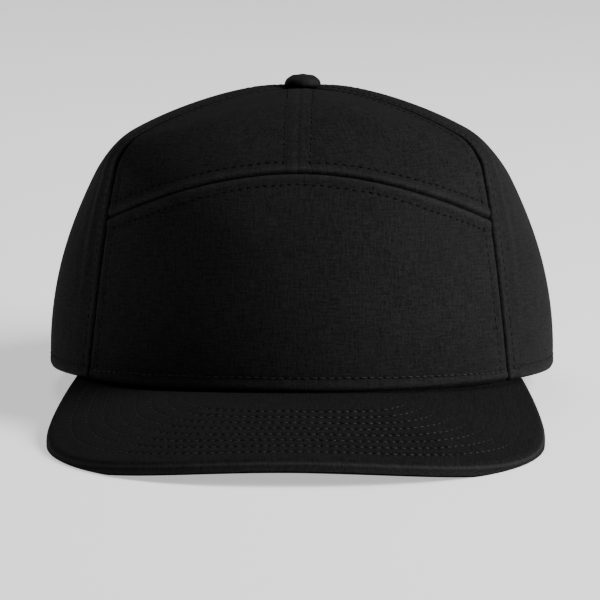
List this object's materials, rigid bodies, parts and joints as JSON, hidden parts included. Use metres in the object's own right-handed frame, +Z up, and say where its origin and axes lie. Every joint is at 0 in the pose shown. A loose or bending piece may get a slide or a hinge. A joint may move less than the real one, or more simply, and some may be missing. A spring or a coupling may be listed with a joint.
{
  "type": "seven-panel cap",
  "caption": "Cloth cap with a boxy panelled crown, an arched seam across the front, a wide gently curved brim, a button on top and a strap closing at the back.",
  "frame": {"origin": "middle of the cap's outline seen from above, on the surface that it rests on", "axes": "+Z up at rest, -Y towards the front of the brim, +X towards the wearer's left"},
  "size_m": [0.184, 0.2664, 0.1147],
  "materials": {
    "crown_cloth": "black cotton twill",
    "brim_cloth": "black cotton twill over a stiff board, stitched in rows",
    "button_cloth": "black cotton twill",
    "band_cloth": "black cotton band",
    "strap_plastic": "smooth black plastic"
  },
  "bodies": {
    "root": {"front_panel": "crown_cloth", "upper_front_left": "crown_cloth", "upper_front_right": "crown_cloth", "side_left": "crown_cloth", "side_right": "crown_cloth", "back_left": "crown_cloth", "back_right": "crown_cloth", "brim_top": "brim_cloth", "brim_under": "brim_cloth", "button": "button_cloth", "sweatband": "band_cloth", "back_strap": "strap_plastic"}
  },
  "joints": []
}
